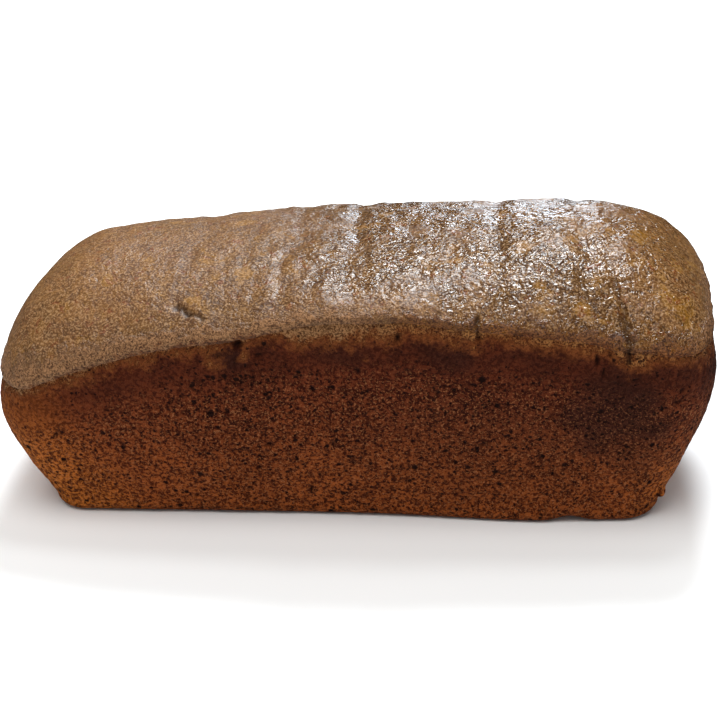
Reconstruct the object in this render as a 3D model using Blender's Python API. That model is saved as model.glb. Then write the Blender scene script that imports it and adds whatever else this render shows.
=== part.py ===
"""A dark rye loaf baked in a tapered tin, modelled as one closed solid.

Blender 4.5, metres, +Z up. +X runs along the loaf towards its taller end and -Y is its front side.
The origin is the centre of the flat base. Run with: blender --background --python part.py
"""

import math

import bmesh
import bpy
from mathutils import Vector, noise

# The walls, which took their shape from a tapered tin. Lengths are in metres.
RIM_LENGTH = 0.2200       # end to end at the rim, where the walls meet the crust
RIM_WIDTH = 0.0920        # side to side at the same height
RIM_HEIGHT = 0.0717       # wall height at the middle of a long side
WALL_LEAN = 0.210         # how far a wall leans outwards for each metre of height
CORNER_RADIUS = 0.0159    # upright corners, seen from above
SIDE_BULGE = 0.0034       # the long walls swell past the tin's straight taper
LOW_END_BULGE = 0.0057
HIGH_END_BULGE = 0.0060
BULGE_POWER = 1.35        # above 1 puts the fullest part of the swelling nearer the rim
BULGE_ROOT = 0.75         # below 1 spreads the swelling further up and down the wall

# The rim sinks towards the ends, and sinks further at the low end.
LOW_END_DROP = 0.0199
HIGH_END_DROP = 0.0075
LOW_CORNER_DROP = 0.0080
HIGH_CORNER_DROP = 0.0043
ARCH_POWER = 1.6

# Uneven stretches of the front rim: (place along X, rise, half width).
RIM_FEATURES = (
    (-0.030, -0.0022, 0.016),
    (0.021, 0.0012, 0.009),
    (0.082, -0.0014, 0.006),
)

# The domed crust, drawn in from its lip to a ridge along the middle.
RIDGE_HEIGHT = 0.0867     # top of the crust half way along
RIDGE_CLIMB = 0.0064      # how much higher the ridge's line is over the high end than in the middle
RIDGE_REACH = 0.0640      # the ridge ends this far from the middle, at both ends
RIDGE_SAG = 0.0022        # the middle of the crust has settled a little
SAG_PLACE = 0.004
SAG_WIDTH = 0.050
DOME_POWER = 2.1
DOME_ROOT = 0.72          # below 1 makes the shoulder stand up more steeply from the lip
LIP_OUT = 0.0012          # the crust overhangs the wall by this much
LIP_HEIGHT = 0.0022

# The base.
EDGE_ROUND = 0.0045
TOE_PLACE = 0.056         # the front wall's foot stands forward over this stretch
TOE_WIDTH = 0.034
TOE_OUT = 0.0036
NICK_PLACE = 0.0680       # a small nick in the front bottom edge, towards the high end
NICK_WIDTH = 0.0045
NICK_DEPTH = 0.0016

# Slow unevenness of a loaf that rose by itself.
SWELL_SIZE = 0.0010
SWELL_SPACING = 0.045
SWELL_SEED = 174          # fixes the unevenness, so that every build gives the same loaf

# How finely the surface is divided.
LONG_SIDE_STEPS = 40
SHORT_SIDE_STEPS = 16
CORNER_STEPS = 6
EDGE_RINGS = 3
WALL_RINGS = 7
DOME_RINGS = 10


def clear_scene():
    for old in list(bpy.data.objects):
        bpy.data.objects.remove(old)


def half_side(steps):
    """Shares of a half side from its middle out to its corner, without the end."""
    return [step / (steps / 2) for step in range(steps // 2)]


def plan_outline(half_length, half_width, radius):
    """A rounded rectangle as [(x, y)], anticlockwise from the middle of the front side."""
    flat_x = half_length - radius
    flat_y = half_width - radius
    quarter = [(flat_x * share, -half_width) for share in half_side(LONG_SIDE_STEPS)]
    for step in range(CORNER_STEPS):
        turn = math.radians(90) * step / CORNER_STEPS
        quarter.append((flat_x + radius * math.sin(turn), -flat_y - radius * math.cos(turn)))
    quarter += [(half_length, -flat_y * (1 - share)) for share in half_side(SHORT_SIDE_STEPS)]
    back_quarter = [(x, -y) for x, y in reversed(quarter[1:])]
    high_half = quarter + [(half_length, 0.0)] + back_quarter
    low_half = [(-x, y) for x, y in reversed(high_half[1:])]
    return high_half + [(0.0, half_width)] + low_half


def wall_outline(height):
    """The tapered tin's outline at a height above the base."""
    inset = WALL_LEAN * (RIM_HEIGHT - height)
    radius = CORNER_RADIUS * (0.7 + 0.3 * height / RIM_HEIGHT)
    return plan_outline(RIM_LENGTH / 2 - inset, RIM_WIDTH / 2 - inset, radius)


def outward(outline, index):
    """The level direction that points out of an outline at one of its points."""
    before = outline[index - 1]
    after = outline[(index + 1) % len(outline)]
    return Vector((after[1] - before[1], before[0] - after[0], 0)).normalized()


def rim_height(x, y):
    """Height of the rim above the base: arched along the sides and lowest at the corners."""
    along = min(1.0, abs(x) / (RIM_LENGTH / 2)) ** ARCH_POWER
    across = min(1.0, abs(y) / (RIM_WIDTH / 2)) ** 2
    end_drop = LOW_END_DROP if x < 0 else HIGH_END_DROP
    corner_drop = LOW_CORNER_DROP if x < 0 else HIGH_CORNER_DROP
    height = RIM_HEIGHT - along * (end_drop + corner_drop * across)
    if y < 0:
        for place, rise, half_width in RIM_FEATURES:
            height += rise * across * math.exp(-(((x - place) / half_width) ** 2))
    return height


def rim_points():
    """Where each upright line of the wall ends."""
    points = []
    for index, (x, y) in enumerate(wall_outline(RIM_HEIGHT)):
        height = rim_height(x, y)
        points.append(Vector((*wall_outline(height)[index], height)))
    return points


def nick(x, y):
    """How far the front bottom edge is eaten away at its nick."""
    if y > 0:
        return 0.0
    return NICK_DEPTH * math.exp(-(((x - NICK_PLACE) / NICK_WIDTH) ** 2))


def toe(x, y, height):
    """How far the front wall's foot stands forward, fading out up the wall."""
    if y > -RIM_WIDTH / 4:
        return Vector((0, 0, 0))
    fade = max(0.0, 1 - height / 0.03) ** 2
    return Vector((0, -TOE_OUT * fade * math.exp(-(((x - TOE_PLACE) / TOE_WIDTH) ** 2)), 0))


def edge_rings():
    """The rounded bottom edge, from the flat base out and up to the wall."""
    rings = []
    foot = wall_outline(EDGE_ROUND)
    for ring in range(EDGE_RINGS + 1):
        turn = math.radians(90) * ring / EDGE_RINGS
        points = []
        for index, (x, y) in enumerate(foot):
            eaten = nick(x, y)
            inside = EDGE_ROUND * (1 - math.sin(turn)) + eaten
            lift = eaten * (1 - ring / EDGE_RINGS) if ring else 0.0
            level = EDGE_ROUND * (1 - math.cos(turn)) + lift
            point = Vector((x, y, level)) - outward(foot, index) * inside
            points.append(point + toe(x, y, level))
        rings.append(points)
    return rings


def swelling(direction):
    """How far the wall that faces a level direction swells."""
    endwise = direction.x ** 2
    end_bulge = LOW_END_BULGE if direction.x < 0 else HIGH_END_BULGE
    return SIDE_BULGE * (1 - endwise) + end_bulge * endwise


def wall_rings(rim):
    """The leaning, swollen walls, from above the bottom edge up to the rim."""
    rings = []
    for ring in range(1, WALL_RINGS + 1):
        share = ring / WALL_RINGS
        fullness = abs(math.sin(math.pi * share ** BULGE_POWER)) ** BULGE_ROOT
        points = []
        for index, top in enumerate(rim):
            height = EDGE_ROUND + (top.z - EDGE_ROUND) * share
            outline = wall_outline(height)
            x, y = outline[index]
            out = outward(outline, index)
            point = Vector((x, y, height)) + out * swelling(out) * fullness
            points.append(point + toe(x, y, height))
        rings.append(points)
    return rings


def lip_ring(rim):
    """The crust's edge, which stands a little proud of the wall."""
    flat = [(point.x, point.y) for point in rim]
    points = []
    for index, point in enumerate(rim):
        points.append(point + outward(flat, index) * LIP_OUT + Vector((0, 0, LIP_HEIGHT)))
    return points


def dome_rings(lip):
    """The domed crust: each ring is the lip drawn further in towards the ridge."""
    rings = []
    for ring in range(1, DOME_RINGS + 1):
        spread = math.cos(math.radians(90) * ring / DOME_RINGS)
        rise = (1 - spread ** DOME_POWER) ** DOME_ROOT
        points = []
        for edge, (level_x, _) in zip(lip, wall_outline(RIM_HEIGHT)):
            ridge_x = max(-RIDGE_REACH, min(RIDGE_REACH, level_x))
            ridge_z = RIDGE_HEIGHT + RIDGE_CLIMB * ridge_x / (RIM_LENGTH / 2)
            ridge_z -= RIDGE_SAG * math.exp(-(((ridge_x - SAG_PLACE) / SAG_WIDTH) ** 2))
            x = ridge_x + (edge.x - ridge_x) * spread
            z = edge.z + (ridge_z - edge.z) * rise
            points.append(Vector((x, edge.y * spread, z)))
        rings.append(points)
    return rings


def uneven(point):
    """Moves a point by the loaf's slow unevenness, which fades out at the flat base."""
    fade = min(1.0, max(0.0, point.z) / 0.012)
    return point + noise.noise_vector(point / SWELL_SPACING) * SWELL_SIZE * fade


def add_band(shape, lower, upper):
    """A band of faces between two rings of the same length."""
    for index in range(len(lower)):
        following = (index + 1) % len(lower)
        shape.faces.new((lower[index], lower[following], upper[following], upper[index]))


def centre_on_origin(shape):
    """Moves the middle of the bounding box onto the Z axis, without lifting the base."""
    xs = [corner.co.x for corner in shape.verts]
    ys = [corner.co.y for corner in shape.verts]
    middle = Vector(((min(xs) + max(xs)) / 2, (min(ys) + max(ys)) / 2, 0))
    for corner in shape.verts:
        corner.co -= middle


def loaf_mesh():
    noise.seed_set(SWELL_SEED)
    rim = rim_points()
    lip = lip_ring(rim)
    rings = edge_rings() + wall_rings(rim) + [lip] + dome_rings(lip)
    shape = bmesh.new()
    loops = [[shape.verts.new(uneven(point)) for point in ring] for ring in rings]
    shape.faces.new(reversed(loops[0]))
    for lower, upper in zip(loops, loops[1:]):
        add_band(shape, lower, upper)
    bmesh.ops.remove_doubles(shape, verts=shape.verts, dist=1e-5)
    bmesh.ops.recalc_face_normals(shape, faces=shape.faces)
    centre_on_origin(shape)
    mesh = bpy.data.meshes.new("loaf")
    shape.to_mesh(mesh)
    shape.free()
    return mesh


def crust_material():
    material = bpy.data.materials.new("rye_crust")
    material.use_nodes = True
    surface = material.node_tree.nodes["Principled BSDF"]
    surface.inputs["Base Color"].default_value = (0.10, 0.035, 0.013, 1)
    surface.inputs["Roughness"].default_value = 0.6
    surface.inputs["Metallic"].default_value = 0.0
    return material


def build():
    clear_scene()
    mesh = loaf_mesh()
    mesh.shade_smooth()
    mesh.set_sharp_from_angle(angle=math.radians(50))
    mesh.materials.append(crust_material())
    loaf = bpy.data.objects.new("loaf", mesh)
    bpy.context.scene.collection.objects.link(loaf)


build()
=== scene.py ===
import math

import bpy
import numpy as np
from mathutils import Matrix, Vector, noise


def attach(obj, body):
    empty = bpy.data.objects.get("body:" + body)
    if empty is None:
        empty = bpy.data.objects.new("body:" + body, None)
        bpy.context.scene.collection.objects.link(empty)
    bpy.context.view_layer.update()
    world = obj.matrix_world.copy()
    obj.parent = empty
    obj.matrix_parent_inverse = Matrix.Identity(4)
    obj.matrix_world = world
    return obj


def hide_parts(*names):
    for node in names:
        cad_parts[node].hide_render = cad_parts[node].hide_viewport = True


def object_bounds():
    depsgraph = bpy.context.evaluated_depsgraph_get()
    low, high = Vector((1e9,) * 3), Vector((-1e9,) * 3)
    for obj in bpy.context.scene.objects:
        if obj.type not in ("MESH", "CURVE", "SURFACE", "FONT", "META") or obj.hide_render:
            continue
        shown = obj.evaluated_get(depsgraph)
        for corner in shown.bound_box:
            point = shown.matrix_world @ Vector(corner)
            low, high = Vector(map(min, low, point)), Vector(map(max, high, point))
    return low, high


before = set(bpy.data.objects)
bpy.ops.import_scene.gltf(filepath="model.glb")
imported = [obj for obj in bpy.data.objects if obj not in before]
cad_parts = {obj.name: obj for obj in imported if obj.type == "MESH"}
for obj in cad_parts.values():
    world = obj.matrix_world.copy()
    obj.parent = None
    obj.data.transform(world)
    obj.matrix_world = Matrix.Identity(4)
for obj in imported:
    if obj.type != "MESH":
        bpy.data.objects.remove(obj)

cad_low, cad_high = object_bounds()


# ---------------------------------------------------------------------------------------------
# Walls, base and rim: dense rye crumb that baked against a tapered tin. The tin cut its gas
# bubbles open, so it is a dark, matt sponge of small pores, smoother in a band under the rim
# where steam softened it. Along the rim the dough rose past the tin and dried to golden crumbs.

# The tin's shape, in millimetres: the same sizes as the loaf's solid.
MM = 0.001
RIM_LENGTH, RIM_WIDTH, RIM_HEIGHT = 220.0, 92.0, 71.7
WALL_LEAN, CORNER_RADIUS = 0.210, 15.9
SIDE_BULGE, LOW_END_BULGE, HIGH_END_BULGE = 3.4, 5.7, 6.0
BULGE_POWER, BULGE_ROOT = 1.35, 0.75
LOW_END_DROP, HIGH_END_DROP = 19.9, 7.5
LOW_CORNER_DROP, HIGH_CORNER_DROP = 8.0, 4.3
ARCH_POWER = 1.6
RIM_FEATURES = ((-30.0, -2.2, 16.0), (21.0, 1.2, 9.0), (82.0, -1.4, 6.0))
RIDGE_HEIGHT, RIDGE_CLIMB, RIDGE_REACH = 86.7, 6.4, 64.0
RIDGE_SAG, SAG_PLACE, SAG_WIDTH = 2.2, 4.0, 50.0
DOME_POWER, DOME_ROOT = 2.1, 0.72
LIP_OUT, LIP_HEIGHT, LIP_LENGTH = 1.2, 2.2, 2.5
EDGE_ROUND = 4.5
TOE_PLACE, TOE_WIDTH, TOE_OUT = 56.0, 34.0, 3.6
NICK_PLACE, NICK_WIDTH, NICK_DEPTH = 68.0, 4.5, 1.6
SWELL_SIZE, SWELL_SPACING, SWELL_SEED = 1.0, 45.0, 174
SWELL_FADE = 12.0         # the slow unevenness fades out below this height, towards the flat base
TOE_HEIGHT = 30.0         # the front foot stands forward up to this height

# How finely the skin is divided.
HALF_LONG_STEPS, CORNER_STEPS, HALF_SHORT_STEPS = 165, 32, 38
EDGE_ROWS, WALL_ROWS, LIP_ROWS, DOME_ROWS = 6, 78, 4, 84
SOLE_SPREADS = (0.0, 0.4, 0.8, 0.97)

# Hollows of the front wall: (x, z, half width, half height, depth inwards). The last is a lump.
WALL_MARKS = (
    (-30.0, 65.4, 2.2, 1.2, 1.7),
    (-36.0, 61.5, 1.2, 0.8, 0.8),
    (-24.0, 62.0, 1.3, 1.0, 0.9),
    (16.7, 67.9, 1.0, 1.9, 1.5),
    (5.0, 57.0, 1.2, 1.6, 0.6),
    (73.9, 61.0, 0.65, 2.6, 1.3),
    (75.9, 57.2, 0.6, 1.9, 1.2),
    (77.6, 62.5, 0.6, 1.0, 0.8),
    (99.0, 50.5, 1.6, 0.9, 0.8),
    (97.5, 46.5, 1.8, 0.8, 0.7),
    (-88.0, 33.0, 1.1, 1.0, 0.9),
    (-23.0, 29.5, 1.6, 1.0, 1.1),
    (-27.0, 20.0, 1.0, 1.0, 0.7),
    (-16.0, 41.5, 0.9, 0.9, 0.8),
    (-15.0, 37.0, 0.7, 0.9, 0.7),
    (-3.5, 30.5, 1.0, 0.9, 0.8),
    (-31.0, 11.0, 0.7, 1.2, 0.8),
    (-48.0, 8.0, 1.2, 0.8, 0.8),
    (-11.5, 11.5, 1.2, 1.0, 0.9),
    (-17.0, 6.0, 0.8, 1.1, 0.8),
    (2.0, 22.5, 0.9, 0.9, 0.6),
    (41.0, 30.5, 0.9, 0.8, 1.0),
    (49.5, 18.0, 1.1, 0.8, 0.8),
    (57.5, 21.5, 1.2, 0.6, 0.8),
    (68.0, 27.0, 0.8, 0.8, 0.7),
    (95.5, 9.0, 2.0, 1.5, -1.6),
)

# Darker patches of the front wall: (x, z, half width, half height, strength).
WALL_DARK_PATCHES = (
    (81.0, 41.0, 17.0, 18.0, 0.9),
    (88.0, 29.0, 11.0, 11.0, 0.5),
    (32.0, 62.0, 7.0, 6.0, 0.6),
    (-34.0, 61.0, 7.0, 4.0, 0.8),
    (2.0, 63.0, 9.0, 5.0, 0.4),
    (54.0, 31.0, 46.0, 26.0, 0.24),
)

# Creases in the crust, as seen from above: (start x, start y, end x, end y, half width, depth).
CREASES = (
    (67.5, -30.0, 69.5, -35.0, 0.5, 0.25),
    (69.5, -35.0, 73.5, -43.0, 0.5, 0.40),
    (77.0, -26.0, 79.0, -33.0, 1.2, 0.22),
    (79.0, -33.0, 81.5, -41.0, 1.0, 0.40),
    (81.5, -41.0, 83.0, -46.0, 1.1, 0.60),
    (-48.5, -37.2, -44.5, -39.6, 1.0, 0.75),
    (-44.5, -39.6, -40.0, -41.8, 0.8, 0.6),
    (39.6, -44.6, 39.7, -45.8, 0.6, 1.2),
)

# Smooth amber blisters, as seen from above: (x, y, half length along X, half length along Y).
BLISTERS = (
    (69.4, -42.0, 2.6, 2.2),
    (93.5, -33.0, 1.8, 7.0),
    (99.5, -39.0, 1.8, 3.5),
    (52.5, -21.0, 3.2, 3.4),
    (57.5, -35.9, 2.0, 1.8),
    (33.5, -24.8, 3.4, 1.5),
    (67.0, -19.0, 3.4, 6.0),
    (73.5, -33.0, 2.2, 3.0),
    (87.4, -11.0, 3.0, 5.0),
    (98.0, -18.0, 2.0, 5.0),
    (-44.0, -34.5, 3.0, 2.0),
    (-60.4, -18.3, 3.0, 3.5),
    (-30.0, -26.0, 3.0, 5.0),
    (-16.0, -22.0, 2.2, 6.0),
    (-72.0, -24.0, 2.4, 3.0),
    (10.0, 13.0, 3.0, 4.0),
    (-33.0, 8.0, 4.0, 3.0),
    (60.0, 22.0, 3.5, 4.0),
    (-70.0, 22.0, 3.0, 3.0),
    (25.0, 30.0, 3.0, 3.5),
)

# Loose golden crumbs stuck to the wall under the rim: (x, z, half width, half height, rise).
CRUMB_PATCHES = (
    (-37.0, 58.0, 4.5, 3.5, 5.6),
    (-28.0, 60.5, 3.0, 2.5, 4.4),
    (7.5, 61.0, 2.5, 2.0, 4.5),
)

# How much further the crumbs hang over the front rim than usual: (place along X, millimetres).
CRUMB_FRINGE = (
    (-95.0, 0.0), (-69.0, -0.8), (-56.0, -1.2), (-44.0, -1.2), (-30.0, -2.2), (-18.0, -0.4),
    (-13.0, 2.2), (-6.0, 3.8), (2.0, 3.6), (9.0, 1.8), (14.0, 3.6), (19.0, 1.0), (30.0, 1.5),
    (38.0, 2.2), (45.0, -1.0), (52.0, 0.5), (72.0, 0.0), (77.0, -1.5), (83.0, 2.4), (95.0, -2.0),
    (104.0, 0.0),
)

# Shallow furrows that run from front to back over the crust: (place, half width, depth).
FURROWS = (
    (-46.0, 4.0, 0.30),
    (-17.0, 3.0, 0.40),
    (2.0, 3.2, 0.75),
    (45.0, 3.0, 0.60),
    (70.0, 3.0, 0.60),
)

# Low relief, as (height, spacing of its lumps).
CRUMB_LUMPS = ((0.26, 10.0), (0.14, 3.6), (0.18, 1.6))
CRUST_SWELLS, CRUST_WRINKLES = (0.35, 13.0), (0.42, 4.6)
STREAK_SPACING = np.array([3.6, 14.0, 14.0])
RIM_GRAINS = (0.45, 1.7)


def outline_columns():
    """Shares that place each column of the skin on the tin's outline, and its outward direction.

    A column lies at (length share * half length + radius share * corner radius) along X, and the
    same with the width along Y. The columns run anticlockwise from the middle of the front."""
    quarter = [((s, -s, -1, 0), (0, -1)) for s in np.arange(HALF_LONG_STEPS) / HALF_LONG_STEPS]
    for turn in np.arange(CORNER_STEPS) / CORNER_STEPS * math.pi / 2:
        s, c = math.sin(turn), math.cos(turn)
        quarter.append(((1, s - 1, -1, 1 - c), (s, -c)))
    for s in 1 - np.arange(HALF_SHORT_STEPS) / HALF_SHORT_STEPS:
        quarter.append(((1, 0, -s, s), (1, 0)))
    rows = np.array([shares + out for shares, out in quarter])
    flip_y = np.array([1, 1, -1, -1, 1, -1])
    flip_x = np.array([-1, -1, 1, 1, -1, 1])
    high_half = np.vstack([rows, [(1, 0, 0, 0, 1, 0)], (rows * flip_y)[:0:-1]])
    columns = np.vstack([high_half, rows[:1] * flip_y, (high_half * flip_x)[:0:-1]])
    return columns[:, :4], columns[:, 4:]


shares, outward = outline_columns()


def tin_line(height):
    """The tapered tin's outline, with each column at its own height."""
    inset = WALL_LEAN * (RIM_HEIGHT - height)
    radius = CORNER_RADIUS * (0.7 + 0.3 * height / RIM_HEIGHT)
    x = shares[:, 0] * (RIM_LENGTH / 2 - inset) + shares[:, 1] * radius
    y = shares[:, 2] * (RIM_WIDTH / 2 - inset) + shares[:, 3] * radius
    return x, y


def hump(x, place, width):
    return np.exp(-(((x - place) / width) ** 2))


def smooth_step(low, high, value):
    share = np.clip((value - low) / (high - low), 0, 1)
    return share * share * (3 - 2 * share)


def rim_line():
    """Height of the rim at each column: arched along the sides and lowest at the corners."""
    x, y = tin_line(np.full(len(shares), RIM_HEIGHT))
    along = np.minimum(1, np.abs(x) / (RIM_LENGTH / 2)) ** ARCH_POWER
    across = np.minimum(1, np.abs(y) / (RIM_WIDTH / 2)) ** 2
    end_drop = np.where(x < 0, LOW_END_DROP, HIGH_END_DROP)
    corner_drop = np.where(x < 0, LOW_CORNER_DROP, HIGH_CORNER_DROP)
    height = RIM_HEIGHT - along * (end_drop + corner_drop * across)
    for place, rise, half_width in RIM_FEATURES:
        height += np.where(y < 0, rise * across * hump(x, place, half_width), 0)
    return height


def toe(x, y, height):
    """How far the front wall's foot stands forward."""
    fade = np.maximum(0, 1 - height / TOE_HEIGHT) ** 2
    return np.where(y > -RIM_WIDTH / 4, 0, TOE_OUT * fade * hump(x, TOE_PLACE, TOE_WIDTH))


def wall_row(share):
    """One level of the wall. The share runs from 0 at the rounded edge to 1 at the rim."""
    height = EDGE_ROUND + (rim - EDGE_ROUND) * share
    x, y = tin_line(height)
    endwise = outward[:, 0] ** 2
    end_bulge = np.where(outward[:, 0] < 0, LOW_END_BULGE, HIGH_END_BULGE)
    swelling = SIDE_BULGE * (1 - endwise) + end_bulge * endwise
    swelling *= abs(math.sin(math.pi * share ** BULGE_POWER)) ** BULGE_ROOT
    out_x, out_y = outward.T * swelling
    return np.stack([x + out_x, y + out_y - toe(x, y, height), height], -1)


def edge_row(share):
    """One level of the rounded bottom edge, from the flat base out to the wall."""
    x, y = tin_line(np.full(len(shares), EDGE_ROUND))
    turn = share * math.pi / 2
    eaten = np.where(y < 0, NICK_DEPTH * hump(x, NICK_PLACE, NICK_WIDTH), 0)
    inside = EDGE_ROUND * (1 - math.sin(turn)) + eaten * (1 - share)
    height = EDGE_ROUND * (1 - math.cos(turn)) + eaten * (1 - share) * min(1, 3 * share)
    out_x, out_y = outward.T * inside
    return np.stack([x - out_x, y - out_y - toe(x, y, height), height], -1)


def dome_row(lip, spread):
    """One level of the domed crust: the lip drawn in towards the ridge, where the spread is 0."""
    level_x, _ = tin_line(np.full(len(shares), RIM_HEIGHT))
    ridge_x = np.clip(level_x, -RIDGE_REACH, RIDGE_REACH)
    ridge_z = RIDGE_HEIGHT + RIDGE_CLIMB * ridge_x / (RIM_LENGTH / 2)
    ridge_z -= RIDGE_SAG * hump(ridge_x, SAG_PLACE, SAG_WIDTH)
    rise = (1 - spread ** DOME_POWER) ** DOME_ROOT
    x = ridge_x + (lip[:, 0] - ridge_x) * spread
    return np.stack([x, lip[:, 1] * spread, lip[:, 2] + (ridge_z - lip[:, 2]) * rise], -1)


def drawn_in(row, spread):
    """A row drawn in towards a line along its middle, which closes it where the spread is 0."""
    reach = np.ptp(row[:, 0]) / 2 - np.ptp(row[:, 1]) / 2
    middle = np.clip(row[:, 0], -reach, reach)
    x = middle + (row[:, 0] - middle) * spread
    return np.stack([x, row[:, 1] * spread, row[:, 2]], -1)


def smooth_noise(points, size):
    """Soft noise between -1 and 1 whose lumps are about the given size, or sizes along X, Y, Z."""
    return np.array([noise.noise(Vector(p)) for p in (points / size).reshape(-1, 3)])


def uneven(points):
    """Moves points by the loaf's slow unevenness, which fades out at the flat base."""
    flat = points.reshape(-1, 3)
    moves = np.array([noise.noise_vector(Vector(p)) for p in flat / SWELL_SPACING])
    fade = np.clip(flat[:, 2:] / SWELL_FADE, 0, 1)
    return (flat + moves * SWELL_SIZE * fade).reshape(points.shape)


def facing(rows):
    """The outward direction at every point of a skin of rows."""
    around = np.roll(rows, -1, axis=1) - np.roll(rows, 1, axis=1)
    upward = np.gradient(rows, axis=0)
    normals = np.cross(around, upward)
    length = np.linalg.norm(normals, axis=2, keepdims=True)
    return normals / np.maximum(length, 1e-9)


# The rows of the whole skin, each with how far it lies above the rim along the surface.
rim = rim_line()
rows, above_rows = [], []
sole = edge_row(0.0)
for spread in SOLE_SPREADS:
    rows.append(drawn_in(sole, spread))
for step in range(EDGE_ROWS):
    rows.append(edge_row(step / EDGE_ROWS))
for step in range(WALL_ROWS + 1):
    rows.append(wall_row(step / WALL_ROWS))
for row in rows:
    above_rows.append(row[:, 2] - rim)
rim_row = rows[-1]
seam = len(rows) - 1
flat_out = np.pad(outward, ((0, 0), (0, 1)))
for step in range(1, LIP_ROWS + 1):
    share = step / LIP_ROWS
    out = flat_out * LIP_OUT * math.sin(share * math.pi / 2)
    rows.append(rim_row + out + np.array([0, 0, LIP_HEIGHT * share]))
    above_rows.append(np.full(len(shares), LIP_LENGTH * share))
lip = rows[-1]

# The distance over the dome for each spread of its rows, at about the dome's usual height.
DOME_HEIGHT, DOME_SAMPLES = 14, 3000
dome_turns = np.linspace(0, math.pi / 2, DOME_SAMPLES)
dome_spreads = np.cos(dome_turns)
dome_heights = DOME_HEIGHT * (1 - dome_spreads ** DOME_POWER) ** DOME_ROOT
dome_steps = np.hypot(np.diff(dome_spreads * RIM_WIDTH / 2), np.diff(dome_heights))
dome_way = np.concatenate([[0], np.cumsum(dome_steps)])
for step in range(1, DOME_ROWS + 1):
    distance = dome_way[-1] * step / DOME_ROWS
    rows.append(dome_row(lip, np.interp(distance, dome_way, dome_spreads)))
    above_rows.append(np.full(len(shares), LIP_LENGTH + distance))

noise.seed_set(SWELL_SEED)
skin = uneven(np.stack(rows))
above = np.stack(above_rows)
flat, flat_above = skin.reshape(-1, 3), above.ravel()
centre = (flat.max(0) + flat.min(0)) / 2 * (1, 1, 0)

# Low relief, which the solid leaves out: crumb, grains along the rim, and wrinkles of the crust.
# The moved places, such as flat + 40, keep one kind of relief from following another.
on_front = flat[:, 1] < -20
crumb = np.zeros(len(flat))
for moved, (size, spacing) in zip((0, 40, 80), CRUMB_LUMPS):
    crumb += size * smooth_noise(flat + moved, spacing)
glazed = 0.4 + 0.6 * smooth_step(-70, -5, flat[:, 0])
wrinkles = CRUST_SWELLS[0] * smooth_noise(flat, CRUST_SWELLS[1]) - 0.10
wrinkles += glazed * CRUST_WRINKLES[0] * smooth_noise(flat + 30, CRUST_WRINKLES[1])
streaky = 0.08 + 0.30 * hump(flat[:, 0], -20, 40)
wrinkles += streaky * smooth_noise(flat + 60, STREAK_SPACING)
bent_x = flat[:, 0] + 2.5 * smooth_noise(flat + 15, 16.0)
for place, half_width, deep in FURROWS:
    wrinkles -= deep * hump(bent_x, place, half_width)
grains = RIM_GRAINS[0] * hump(flat_above, 0.5, 3.2) * smooth_noise(flat + 20, RIM_GRAINS[1])
on_crust = smooth_step(-0.8, 2.5, flat_above)
relief = crumb * (1 - on_crust) + wrinkles * on_crust + grains - 0.05

# Of the arrays below, the first holds the wall's hollows and the crust's creases, which the materials paint
# with shade; the second holds darker patches of the front wall.
hollow_shade, dark_patch, blister = np.zeros((3, len(flat)))
for x, z, half_width, half_height, deep in WALL_MARKS:
    away = np.hypot((flat[:, 0] - x) / half_width, (flat[:, 2] - z) / half_height)
    dent = np.where(on_front & (flat_above < 1), 1 - smooth_step(0.2, 1.15, away), 0)
    relief -= deep * dent
    if deep > 0:
        hollow_shade = np.maximum(hollow_shade, dent)
smudge = 0.35 * smooth_noise(flat + 55, 9.0)
for x, z, half_width, half_height, strength in WALL_DARK_PATCHES:
    away = np.hypot((flat[:, 0] - x) / half_width, (flat[:, 2] - z) / half_height) + smudge
    dark_patch = np.maximum(dark_patch, np.where(on_front, strength * (1 - smooth_step(0.4, 1.3, away)), 0))
hang = np.interp(flat[:, 0], *zip(*CRUMB_FRINGE))
hang *= smooth_step(-18, -8, flat_above) * (1 - smooth_step(0, 6, flat_above))
flat_above += np.where(on_front, hang, 0)
for x, z, half_width, half_height, rise in CRUMB_PATCHES:
    away = np.hypot((flat[:, 0] - x) / half_width, (flat[:, 2] - z) / half_height) + smudge
    flat_above += np.where(on_front & (flat_above < 0), rise * (1 - smooth_step(0.3, 1.3, away)), 0)
for x, y, half_length, half_width in BLISTERS:
    away = np.hypot((flat[:, 0] - x) / half_length, (flat[:, 1] - y) / half_width) + smudge
    blister = np.maximum(blister, np.where(flat_above > 2, 1 - smooth_step(0.5, 1.3, away), 0))
shift = 0.9 * np.stack([smooth_noise(flat + 15, 3.5), smooth_noise(flat + 25, 3.5)])
for x0, y0, x1, y1, half_width, deep in CREASES:
    from_start = flat[:, :2].T + shift - np.array([[x0], [y0]])
    run = np.array([x1 - x0, y1 - y0])
    along = np.clip(run @ from_start / (run @ run), 0, 1)
    away = np.hypot(*(from_start - run[:, None] * along))
    line = np.where(flat_above > -1, 1 - smooth_step(0, half_width * 1.4, away), 0)
    relief -= deep * line
    hollow_shade = np.maximum(hollow_shade, line * min(1, 1.4 * deep))
relief *= smooth_step(0.0, 3.0, flat[:, 2])

box_low, box_high = np.array(cad_low) / MM, np.array(cad_high) / MM
surface = skin + facing(skin) * relief.reshape(above.shape + (1,)) - centre
surface = np.clip(surface, box_low, box_high)
skin -= centre
hollow_shade, dark_patch, blister = (values.reshape(above.shape) for values in (hollow_shade, dark_patch, blister))
surface_facing = facing(surface)


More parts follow.
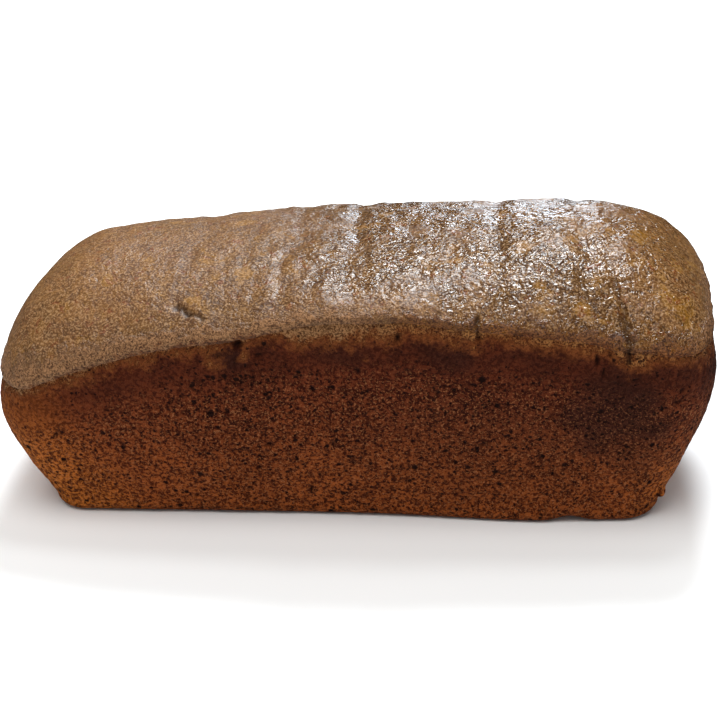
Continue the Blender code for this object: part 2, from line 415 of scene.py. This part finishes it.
def skin_piece(name, part, lining, seam_row):
    """A closed mesh from some rows of the loaf's skin and its hidden lining.

    The lining's rows close the piece behind the seam, where it meets the other piece. Along the
    seam both pieces take the whole skin's shading, so that it doesn't show."""
    def closed(rows, extra):
        return np.concatenate([rows[part], extra] if part.start is None else [extra, rows[part]])

    none = np.zeros(lining.shape[:2])
    points, rest = closed(surface, lining), closed(skin, lining)
    values = {"above": above, "hollow_shade": hollow_shade, "dark_patch": dark_patch, "blister": blister}
    levels, columns = points.shape[:2]
    listed = points.reshape(-1, 3)
    _, first, merged = np.unique(np.round(listed, 3), axis=0, return_index=True, return_inverse=True)
    merged = merged.reshape(levels, columns)
    after = np.roll(merged, -1, axis=1)
    quads = np.stack([merged[:-1], after[:-1], after[1:], merged[1:]], -1).reshape(-1, 4)
    faces = []
    for quad in quads.tolist():
        corners = list(dict.fromkeys(quad))
        if len(corners) > 2:
            faces.append(corners)
    mesh = bpy.data.meshes.new(name)
    mesh.from_pydata((listed[first] * MM).tolist(), [], faces)
    mesh.shade_smooth()
    layer = mesh.attributes.new("rest", "FLOAT_VECTOR", "POINT")
    layer.data.foreach_set("vector", (rest.reshape(-1, 3)[first] * MM).astype(np.float32).ravel())
    for label, array in values.items():
        layer = mesh.attributes.new(label, "FLOAT", "POINT")
        layer.data.foreach_set("value", closed(array, none).ravel()[first].astype(np.float32))
    normals = np.zeros((len(first), 3))
    normals[merged[seam_row]] = surface_facing[seam]
    mesh.normals_split_custom_set_from_vertices(normals.tolist())
    piece = bpy.data.objects.new(name, mesh)
    bpy.context.scene.collection.objects.link(piece)
    return piece


LINING_DEPTH = 1.5
tucked = surface[seam] - surface_facing[seam] * LINING_DEPTH
lining = np.stack([drawn_in(tucked, spread) for spread in (1.0, 0.5, 0.0)])
walls = skin_piece("crumb_walls", slice(None, seam + 1), lining, seam)


def put(tree, kind, inputs=(), **settings):
    """Adds a node. Its inputs are given by name or place, as a value or as a socket to link."""
    node = tree.nodes.new(kind)
    for name, value in settings.items():
        setattr(node, name, value)
    for name, value in dict(inputs).items():
        if isinstance(value, bpy.types.NodeSocket):
            tree.links.new(value, node.inputs[name])
        else:
            node.inputs[name].default_value = value
    return node


def maths(tree, operation, first, second=0.0, third=0.0):
    return put(tree, "ShaderNodeMath", {0: first, 1: second, 2: third}, operation=operation).outputs[0]


def multiply(tree, first, second):
    return maths(tree, "MULTIPLY", first, second)


def ramp(tree, value, low, high, to_low=0.0, to_high=1.0):
    """A smooth step from to_low, at low and under, to to_high, at high and over."""
    inputs = {"Value": value, "From Min": low, "From Max": high, "To Min": to_low, "To Max": to_high}
    return put(tree, "ShaderNodeMapRange", inputs, interpolation_type="SMOOTHSTEP").outputs[0]


def blend(tree, share, first, second, way="MIX"):
    """Mixes two colours."""
    node = put(tree, "ShaderNodeMix", {0: share, 6: first, 7: second}, data_type="RGBA", blend_type=way)
    return node.outputs[2]


def shade(red, green, blue):
    return (red, green, blue, 1.0)


def noise_of(tree, vector, per_metre, detail=3.0, roughness=0.6, distortion=0.0, output="Fac"):
    inputs = {"Vector": vector, "Scale": per_metre, "Detail": detail, "Roughness": roughness}
    inputs["Distortion"] = distortion
    return put(tree, "ShaderNodeTexNoise", inputs).outputs[output]


def bent(tree, vector, per_metre, reach):
    """Shifts a place at random by about the reach, so that round forms come out irregular."""
    kind, middle = "ShaderNodeVectorMath", (0.5, 0.5, 0.5)
    shake = noise_of(tree, vector, per_metre, 2.0, output="Color")
    shake = put(tree, kind, {0: shake, 1: middle}, operation="SUBTRACT").outputs[0]
    shake = put(tree, kind, {0: shake, 3: reach}, operation="SCALE").outputs[0]
    return put(tree, kind, {0: vector, 1: shake}, operation="ADD").outputs[0]


def value_at(tree, label, output="Fac"):
    return put(tree, "ShaderNodeAttribute", attribute_name=label).outputs[output]


def new_group(name, inputs, outputs):
    """An empty shader group. Each input is given as name: (kind, usual value)."""
    tree = bpy.data.node_groups.new(name, "ShaderNodeTree")
    for label, (kind, usual) in inputs.items():
        socket = tree.interface.new_socket(label, in_out="INPUT", socket_type=kind)
        if usual is not None:
            socket.default_value = usual
    for label, kind in outputs.items():
        tree.interface.new_socket(label, in_out="OUTPUT", socket_type=kind)
    return tree, tree.nodes.new("NodeGroupInput").outputs, tree.nodes.new("NodeGroupOutput").inputs


def bubble_group():
    """Gas bubbles cut open at the surface: round holes of uneven size, scattered at random."""
    number = "NodeSocketFloat"
    tree, given, result = new_group("cut_bubbles", {
        "Vector": ("NodeSocketVector", None),
        "Per metre": (number, 300.0),
        "Smallest": (number, 0.1),
        "Largest": (number, 0.3),
        "Chance": (number, 0.8),
    }, {"Hole": number})
    cells = put(tree, "ShaderNodeTexVoronoi", {"Vector": given["Vector"], "Scale": given["Per metre"]})
    random = put(tree, "ShaderNodeSeparateColor", {0: cells.outputs["Color"]}).outputs
    spread = maths(tree, "SUBTRACT", given["Largest"], given["Smallest"])
    squared = multiply(tree, random[0], random[0])
    radius = maths(tree, "MULTIPLY_ADD", squared, spread, given["Smallest"])
    share = maths(tree, "DIVIDE", cells.outputs["Distance"], radius)
    hole = ramp(tree, share, 0.55, 1.0, 1.0, 0.0)
    there = maths(tree, "LESS_THAN", random[1], given["Chance"])
    tree.links.new(multiply(tree, hole, there), result["Hole"])
    return tree


cut_bubbles = bubble_group()


def holes(tree, vector, per_metre, smallest, largest, chance):
    """Cut bubbles in one range of sizes. The sizes are shares of the spacing between them."""
    inputs = {"Vector": vector, "Per metre": per_metre, "Smallest": smallest, "Largest": largest}
    inputs["Chance"] = chance
    return put(tree, "ShaderNodeGroup", inputs, node_tree=cut_bubbles).outputs["Hole"]


def rim_group():
    """Dry golden crumbs along the rim, which thin out raggedly below it and above it."""
    number = "NodeSocketFloat"
    tree, given, result = new_group("rim_crumbs", {
        "Vector": ("NodeSocketVector", None),
        "Above": (number, 0.0),
    }, {"Colour": "NodeSocketColor", "Cover": number, "Fringe": number, "Warm": number, "Height": number})
    place, level = given["Vector"], given["Above"]
    x = put(tree, "ShaderNodeSeparateXYZ", {0: place}).outputs[0]
    coarse = noise_of(tree, place, 280.0, 3.0, 0.65)
    fine = noise_of(tree, place, 1150.0, 2.0, 0.6, 0.6)
    tiny = noise_of(tree, place, 2300.0, 1.0, 0.5)
    # Painted light on the crumbs: each colour below has a shaded and a lit copy, mixed by the same noise as
    # the grains' height, so their tops get a painted highlight and their hollows painted shade.
    lit_grain = maths(tree, "MULTIPLY_ADD", tiny, 0.5, multiply(tree, fine, 0.5))
    lit_grain = ramp(tree, lit_grain, 0.40, 0.60)

    # The crumbs are dry at both ends, and moist with glaze from the middle to the taller end.
    dry = ramp(tree, x, -0.004, 0.022, 1.0, 0.2)
    dry = maths(tree, "MAXIMUM", dry, ramp(tree, x, 0.092, 0.106, 0.0, 0.8))
    ragged = maths(tree, "MULTIPLY_ADD", fine, 4.5, -8.75)
    ragged = maths(tree, "ADD", multiply(tree, coarse, 13.0), ragged)
    top_level = maths(tree, "MULTIPLY_ADD", ragged, 1.2, level)
    level = maths(tree, "MULTIPLY_ADD", ragged, maths(tree, "MULTIPLY_ADD", dry, 0.3, 0.7), level)
    golden = blend(tree, lit_grain, shade(0.115, 0.050, 0.0185), shade(0.305, 0.152, 0.065))
    moist = blend(tree, lit_grain, shade(0.060, 0.019, 0.0060), shade(0.200, 0.078, 0.026))
    juicy = blend(tree, lit_grain, shade(0.090, 0.030, 0.0080), shade(0.330, 0.135, 0.038))
    moist = blend(tree, ramp(tree, coarse, 0.45, 0.60), moist, juicy)
    golden = blend(tree, dry, moist, golden)
    browned = blend(tree, lit_grain, shade(0.075, 0.0190, 0.0050), shade(0.210, 0.066, 0.0160))
    colour = blend(tree, ramp(tree, level, -1.8, 2.0), browned, golden)
    # Painted shade between the grains.
    crumb_gap_shade = ramp(tree, fine, 0.33, 0.45, 0.50, 0.0)
    colour = blend(tree, crumb_gap_shade, colour, shade(0.040, 0.013, 0.005))
    tree.links.new(colour, result["Colour"])

    low = ramp(tree, maths(tree, "MULTIPLY_ADD", dry, 0.3, level), -2.9, -0.4)
    high = ramp(tree, maths(tree, "MULTIPLY_ADD", dry, -2.5, top_level), 1.8, 5.0, 1.0, 0.0)
    tree.links.new(multiply(tree, low, high), result["Cover"])
    tree.links.new(low, result["Fringe"])
    tree.links.new(ramp(tree, level, -6.0, -1.6), result["Warm"])
    tree.links.new(maths(tree, "MULTIPLY_ADD", tiny, 0.4, fine), result["Height"])
    return tree


rim_crumbs = rim_group()


def start_material(name):
    material = bpy.data.materials.new(name)
    material.use_nodes = True
    tree = material.node_tree
    return material, tree, tree.nodes["Principled BSDF"]


def crumb_material():
    material, tree, surface = start_material("tin_baked_crumb")
    place = value_at(tree, "rest", "Vector")
    level = value_at(tree, "above")
    x, _, z = put(tree, "ShaderNodeSeparateXYZ", {0: place}).outputs
    loose = bent(tree, place, 700.0, 0.0012)

    # Cut bubbles in four sizes. They close up in the steamed band under the rim.
    patchy = noise_of(tree, place, 45.0)
    smears = noise_of(tree, place, 110.0, 3.0, 0.6, 0.5)
    lower = ramp(tree, level, -6.0, -20.0)
    open_crumb = multiply(tree, lower, ramp(tree, patchy, 0.30, 0.50, 0.6, 1.0))
    open_crumb = maths(tree, "MAXIMUM", open_crumb, 0.15)
    big = holes(tree, loose, 150.0, 0.09, 0.22, multiply(tree, open_crumb, 0.6))
    middle = holes(tree, loose, 310.0, 0.13, 0.32, multiply(tree, open_crumb, 0.8))
    small = holes(tree, loose, 620.0, 0.20, 0.40, open_crumb)
    fine = holes(tree, loose, 1000.0, 0.22, 0.48, maths(tree, "MULTIPLY_ADD", open_crumb, 0.7, 0.2))
    grain = noise_of(tree, loose, 1500.0, 2.0, 0.6)
    threads = noise_of(tree, loose, 820.0, 3.0, 0.65, 0.4)

    # The wall's colour: redder and paler towards the foot and the ends, darkest under the rim.
    low_colour, high_colour = shade(0.190, 0.0440, 0.0085), shade(0.070, 0.0130, 0.0038)
    colour = blend(tree, ramp(tree, z, 0.000, 0.060), low_colour, high_colour)
    under_rim = ramp(tree, level, -17.0, -3.0)
    under_rim = multiply(tree, under_rim, ramp(tree, smears, 0.38, 0.58, 0.4, 1.0))
    under_rim = multiply(tree, under_rim, ramp(tree, x, -0.104, -0.040, 0.1, 0.8))
    colour = blend(tree, under_rim, colour, shade(0.040, 0.0085, 0.0032))
    low_end = ramp(tree, maths(tree, "MULTIPLY_ADD", z, 0.5, x), -0.098, -0.056, 1.0, 0.0)
    low_end = multiply(tree, low_end, ramp(tree, z, 0.008, 0.040, 1.0, 0.50))
    high_end = ramp(tree, x, 0.080, 0.104)
    high_end = multiply(tree, high_end, ramp(tree, z, 0.006, 0.034, 0.60, 0.0))
    ends = maths(tree, "MAXIMUM", low_end, high_end)
    colour = blend(tree, ends, colour, shade(0.365, 0.103, 0.0130))
    dark_patch = value_at(tree, "dark_patch")
    colour = blend(tree, multiply(tree, dark_patch, 0.85), colour, shade(0.026, 0.0072, 0.0042))
    colour = blend(tree, ramp(tree, patchy, 0.38, 0.62), colour, shade(0.80, 0.78, 0.78), "MULTIPLY")
    rim_look = put(tree, "ShaderNodeGroup", {"Vector": place, "Above": level}, node_tree=rim_crumbs).outputs
    warm = multiply(tree, rim_look["Warm"], 0.85)
    colour = blend(tree, warm, colour, shade(0.150, 0.0410, 0.0100))

    # Painted light on the crumb's relief: the raised threads are a lit copy of the colour and the
    # hollows between them a shaded copy, and the grain's tops get a painted highlight, more so
    # lower down and away from the dark patches.
    contrast = maths(tree, "MULTIPLY_ADD", dark_patch, -0.5, 1.0)
    contrast = multiply(tree, ramp(tree, level, -6.0, -22.0, 0.5, 1.0), contrast)
    dim = blend(tree, contrast, colour, shade(0.36, 0.30, 0.30), "MULTIPLY")
    lit = blend(tree, contrast, colour, shade(1.65, 1.75, 1.80), "MULTIPLY")
    colour = blend(tree, ramp(tree, threads, 0.40, 0.60), dim, lit)
    lit_ridges = multiply(tree, open_crumb, contrast)
    lit_ridges = multiply(tree, ramp(tree, grain, 0.54, 0.66), lit_ridges)
    colour = blend(tree, multiply(tree, lit_ridges, 0.6), colour, shade(0.33, 0.120, 0.045))
    # Painted shade: the cut bubbles, the wall's hollows and the creases are darkened nearly to black.
    dark = multiply(tree, fine, 0.60)
    hollows = ((small, 0.85), (middle, 0.92), (big, 0.95), (value_at(tree, "hollow_shade"), 0.9))
    for hole, strength in hollows:
        dark = maths(tree, "MAXIMUM", dark, multiply(tree, hole, strength))
    colour = blend(tree, rim_look["Fringe"], colour, rim_look["Colour"])
    colour = blend(tree, dark, colour, shade(0.0090, 0.0024, 0.0014))
    tree.links.new(colour, surface.inputs["Base Color"])

    height = maths(tree, "MULTIPLY_ADD", grain, 0.22, multiply(tree, threads, 0.6))
    for hole, deep in ((fine, -0.3), (small, -0.6), (middle, -0.8), (big, -1.0)):
        height = maths(tree, "MULTIPLY_ADD", hole, deep, height)
    grainy = multiply(tree, rim_look["Fringe"], rim_look["Height"])
    height = maths(tree, "MULTIPLY_ADD", grainy, 0.8, height)
    bump = put(tree, "ShaderNodeBump", {"Height": height, "Distance": 0.0010, "Strength": 1.0})
    tree.links.new(bump.outputs[0], surface.inputs["Normal"])
    tree.links.new(ramp(tree, threads, 0.3, 0.7, 1.0, 0.88), surface.inputs["Roughness"])
    surface.inputs["Specular IOR Level"].default_value = 0.11
    return material


walls.data.materials.append(crumb_material())
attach(walls, "root")
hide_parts("loaf")


# ---------------------------------------------------------------------------------------------
# Top crust: the free surface of the dough, brushed with starch water before and after baking.
# It dried to a thin, shiny, finely pebbled skin over a low dome, with smooth amber blisters,
# a few creases at the taller end, and shallow furrows from front to back.

crust = skin_piece("glazed_crust", slice(seam, None), lining[::-1], len(lining))


def crust_material():
    material, tree, surface = start_material("glazed_crust")
    place = value_at(tree, "rest", "Vector")
    level = value_at(tree, "above")
    x = put(tree, "ShaderNodeSeparateXYZ", {0: place}).outputs[0]
    patchy = noise_of(tree, place, 48.0, 3.0, 0.6, 0.4)
    mottle = noise_of(tree, place, 190.0, 3.0, 0.6, 0.5)
    crumple = noise_of(tree, place, 600.0, 1.6, 0.55, 0.5)
    speckle = noise_of(tree, place, 1700.0, 1.0, 0.5, 0.3)
    flakes = noise_of(tree, place, 130.0, 4.0, 0.70, 0.6)

    # Where the starch glaze lies: from the middle to near the taller end, and patchily.
    glaze = multiply(tree, ramp(tree, x, -0.042, 0.018), ramp(tree, x, 0.096, 0.110, 1.0, 0.0))
    glaze = multiply(tree, glaze, ramp(tree, patchy, 0.34, 0.50, 0.5, 1.0))
    away_from_rim = maths(tree, "MAXIMUM", ramp(tree, level, 6.0, 17.0), ramp(tree, x, 0.008, 0.030))
    glaze = multiply(tree, glaze, away_from_rim)

    # The colour of the crust: darker where it is damp with glaze, with a grey-blue cast there that is
    # painted sheen, and darker where it baked hardest.
    tan, brown = shade(0.232, 0.103, 0.030), shade(0.150, 0.060, 0.016)
    colour = blend(tree, ramp(tree, mottle, 0.38, 0.62), tan, brown)
    colour = blend(tree, ramp(tree, patchy, 0.35, 0.60, 0.45, 0.0), colour, shade(0.190, 0.090, 0.038))
    colour = blend(tree, ramp(tree, patchy, 0.50, 0.68, 0.0, 0.45), colour, shade(0.135, 0.064, 0.020))
    # Damp glaze darkens the colour, and its grey-blue cast is a painted cool sheen.
    wet_and_sheen_cast = multiply(tree, glaze, ramp(tree, level, 2.0, 12.0, 0.35, 1.0))
    wet_and_sheen_cast = multiply(tree, wet_and_sheen_cast, ramp(tree, x, 0.062, 0.092, 1.0, 0.25))
    colour = blend(tree, wet_and_sheen_cast, colour, shade(0.43, 0.49, 0.76), "MULTIPLY")
    baked = multiply(tree, ramp(tree, x, -0.085, -0.045), ramp(tree, x, -0.015, 0.025, 1.0, 0.0))
    colour = blend(tree, multiply(tree, baked, 0.9), colour, shade(0.72, 0.68, 0.62), "MULTIPLY")

    # Amber blisters and flakes, russet dots and dark flecks; painted shade between the pebbles;
    # and on the fine grain painted shade where it is low and pale specks where it is high, partly the
    # crust's own and partly painted glints.
    high_end = ramp(tree, x, 0.030, 0.085, 0.0, 0.02)
    blister = multiply(tree, value_at(tree, "blister"), 0.17)
    amber = maths(tree, "ADD", maths(tree, "ADD", flakes, high_end), blister)
    colour = blend(tree, ramp(tree, amber, 0.46, 0.62, 0.0, 0.40), colour, shade(0.200, 0.086, 0.014))
    amber = ramp(tree, amber, 0.59, 0.67)
    colour = blend(tree, multiply(tree, amber, 0.75), colour, shade(0.235, 0.100, 0.0070))
    russet = ramp(tree, noise_of(tree, place, 330.0, 3.0, 0.6, 0.5), 0.60, 0.66)
    colour = blend(tree, multiply(tree, russet, 0.7), colour, shade(0.160, 0.036, 0.008))
    bare = maths(tree, "MULTIPLY_ADD", amber, -0.7, 1.0)
    bare = multiply(tree, bare, maths(tree, "MULTIPLY_ADD", glaze, 0.5, 0.5))
    # Painted shade between the pebbles, where their bump is low.
    pebble_gap_shade = multiply(tree, ramp(tree, crumple, 0.38, 0.52, 0.90, 0.0), bare)
    pebble_gap_shade = multiply(tree, pebble_gap_shade, ramp(tree, mottle, 0.40, 0.60, 0.60, 1.0))
    colour = blend(tree, pebble_gap_shade, colour, shade(0.062, 0.025, 0.0075))
    # Fine grain: painted shade in its low spots, and pale specks on its high spots that are partly painted
    # glints.
    colour = blend(tree, ramp(tree, speckle, 0.36, 0.50, 0.45, 0.0), colour, shade(0.045, 0.018, 0.0065))
    colour = blend(tree, ramp(tree, speckle, 0.50, 0.64, 0.0, 0.50), colour, shade(0.42, 0.25, 0.12))
    flecks = holes(tree, place, 420.0, 0.08, 0.24, 0.16)
    colour = blend(tree, multiply(tree, flecks, 0.8), colour, shade(0.030, 0.011, 0.005))

    # Crumbs of the rim over the crust's edge, and painted shade in the creases.
    rim_look = put(tree, "ShaderNodeGroup", {"Vector": place, "Above": level}, node_tree=rim_crumbs).outputs
    colour = blend(tree, rim_look["Cover"], colour, rim_look["Colour"])
    golden_edge = ramp(tree, level, 1.0, 5.5, 1.0, 0.0)
    golden_edge = multiply(tree, golden_edge, ramp(tree, x, -0.030, 0.020))
    colour = blend(tree, golden_edge, colour, shade(1.0, 0.84, 0.58), "MULTIPLY")
    colour = blend(tree, rim_look["Fringe"], shade(0.120, 0.0340, 0.0095), colour)
    crease_shade = multiply(tree, value_at(tree, "hollow_shade"), 0.85)
    colour = blend(tree, crease_shade, colour, shade(0.034, 0.016, 0.009))
    tree.links.new(colour, surface.inputs["Base Color"])

    calm = maths(tree, "MULTIPLY_ADD", amber, -0.3, 1.0)
    calm = multiply(tree, calm, maths(tree, "MULTIPLY_ADD", glaze, 0.35, 0.65))
    height = multiply(tree, crumple, calm)
    height = maths(tree, "MULTIPLY_ADD", speckle, 0.12, height)
    grainy = multiply(tree, rim_look["Cover"], rim_look["Height"])
    height = maths(tree, "MULTIPLY_ADD", grainy, 0.8, height)
    bump = put(tree, "ShaderNodeBump", {"Height": height, "Distance": 0.00085, "Strength": 1.0})
    tree.links.new(bump.outputs[0], surface.inputs["Normal"])

    # Smooth under the glaze, and matt at both ends, on the crumbs and below the fringe.
    roughness = ramp(tree, mottle, 0.38, 0.62, 0.46, 0.58)
    roughness = maths(tree, "MULTIPLY_ADD", glaze, -0.36, roughness)
    roughness = maths(tree, "MULTIPLY_ADD", amber, 0.12, roughness)
    dull_ends = ramp(tree, maths(tree, "ABSOLUTE", x), 0.096, 0.108, 0.0, 0.5)
    dull_crumbs = multiply(tree, rim_look["Cover"], ramp(tree, x, -0.004, 0.022, 0.92, 0.45))
    dull_edge = maths(tree, "SUBTRACT", 0.95, rim_look["Fringe"])
    for dull in (dull_ends, dull_crumbs, dull_edge):
        roughness = maths(tree, "MAXIMUM", roughness, dull)
    tree.links.new(roughness, surface.inputs["Roughness"])
    surface.inputs["Specular IOR Level"].default_value = 0.45
    return material


crust.data.materials.append(crust_material())
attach(crust, "root")
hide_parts("loaf")


# ---------------------------------------------------------------------------------------------
# Studio: a plain pale table in a white room. Three soft lamps high and low behind the loaf and a
# small one in front make the glazed crust shine, and a wide one overhead lights its front. The
# table and the room don't show in reflections, which would turn the dark crumb grey.

TABLE_REACH = 6.0
floor_mesh = bpy.data.meshes.new("table")
table_corners = [(-TABLE_REACH, -TABLE_REACH, 0), (TABLE_REACH, -TABLE_REACH, 0),
                 (TABLE_REACH, TABLE_REACH, 0), (-TABLE_REACH, TABLE_REACH, 0)]
floor_mesh.from_pydata(table_corners, [], [(0, 1, 2, 3)])
floor = bpy.data.objects.new("table", floor_mesh)
bpy.context.scene.collection.objects.link(floor)
floor_material, floor_tree, floor_surface = start_material("pale_table")
floor_cloud = noise_of(floor_tree, put(floor_tree, "ShaderNodeTexCoord").outputs["Object"], 3.0)
floor_colour = blend(floor_tree, floor_cloud, shade(0.90, 0.90, 0.90), shade(0.93, 0.93, 0.93))
floor_tree.links.new(floor_colour, floor_surface.inputs["Base Color"])
floor_surface.inputs["Roughness"].default_value = 0.9
floor_surface.inputs["Specular IOR Level"].default_value = 0.1
floor_mesh.materials.append(floor_material)
floor.visible_glossy = False

world = bpy.data.worlds.new("white_room")
bpy.context.scene.world = world
world.use_nodes = True
background = world.node_tree.nodes["Background"]
background.inputs["Color"].default_value = (1.0, 1.0, 1.0, 1.0)
background.inputs["Strength"].default_value = 0.34
world.cycles_visibility.glossy = False


def soft_lamp(name, place, aim, size, watts, colour=(1.0, 1.0, 1.0)):
    """A round soft lamp, size metres across, that points at its aim."""
    light = bpy.data.lights.new(name, "AREA")
    light.shape = "DISK"
    light.size = size
    light.energy = watts
    light.color = colour
    lamp = bpy.data.objects.new(name, light)
    lamp.location = place
    lamp.rotation_euler = (Vector(aim) - Vector(place)).to_track_quat("-Z", "Y").to_euler()
    bpy.context.scene.collection.objects.link(lamp)
    return lamp


soft_lamp("window", (0.08, 0.54, 0.99), (0.03, 0.0, 0.06), 0.36, 12.0, (0.90, 0.96, 1.0))
soft_lamp("ceiling_lamp", (0.12, 0.16, 1.20), (0.03, 0.0, 0.06), 0.22, 2.4, (0.94, 0.98, 1.0))
soft_lamp("low_window", (0.12, 1.60, 0.26), (0.06, 0.0, 0.08), 0.34, 3.1, (0.80, 0.90, 1.0))
overhead = soft_lamp("overhead", (-0.1, -0.45, 1.15), (0.0, 0.0, 0.04), 0.9, 10.5, (1.0, 0.99, 0.97))
overhead.visible_glossy = False
front_lamp = soft_lamp("front_lamp", (0.14, -0.75, 0.90), (0.05, -0.04, 0.07), 0.16, 2.4)
front_lamp.visible_diffuse = False

# The camera looks down at the long side, with small turns in radians.
CAMERA_PLACE = (0.0437, -0.4744, 0.2621)
CAMERA_TURN, CAMERA_DIP, CAMERA_ROLL = -0.0912, 0.4373, -0.0318
LENS_MM = 82.07
ahead = Vector((math.sin(CAMERA_TURN) * math.cos(CAMERA_DIP),
                math.cos(CAMERA_TURN) * math.cos(CAMERA_DIP), -math.sin(CAMERA_DIP)))
level = Vector((math.cos(CAMERA_TURN), -math.sin(CAMERA_TURN), 0))
above_level = level.cross(ahead)
right = level * math.cos(CAMERA_ROLL) + above_level * math.sin(CAMERA_ROLL)
top = above_level * math.cos(CAMERA_ROLL) - level * math.sin(CAMERA_ROLL)
camera_data = bpy.data.cameras.new("camera")
camera_data.lens = LENS_MM
camera_data.clip_start = 0.01
camera = bpy.data.objects.new("camera", camera_data)
camera.matrix_world = Matrix((right, top, -ahead)).transposed().to_4x4()
camera.location = CAMERA_PLACE
bpy.context.scene.collection.objects.link(camera)
bpy.context.scene.camera = camera
bpy.context.scene.view_settings.view_transform = "Standard"
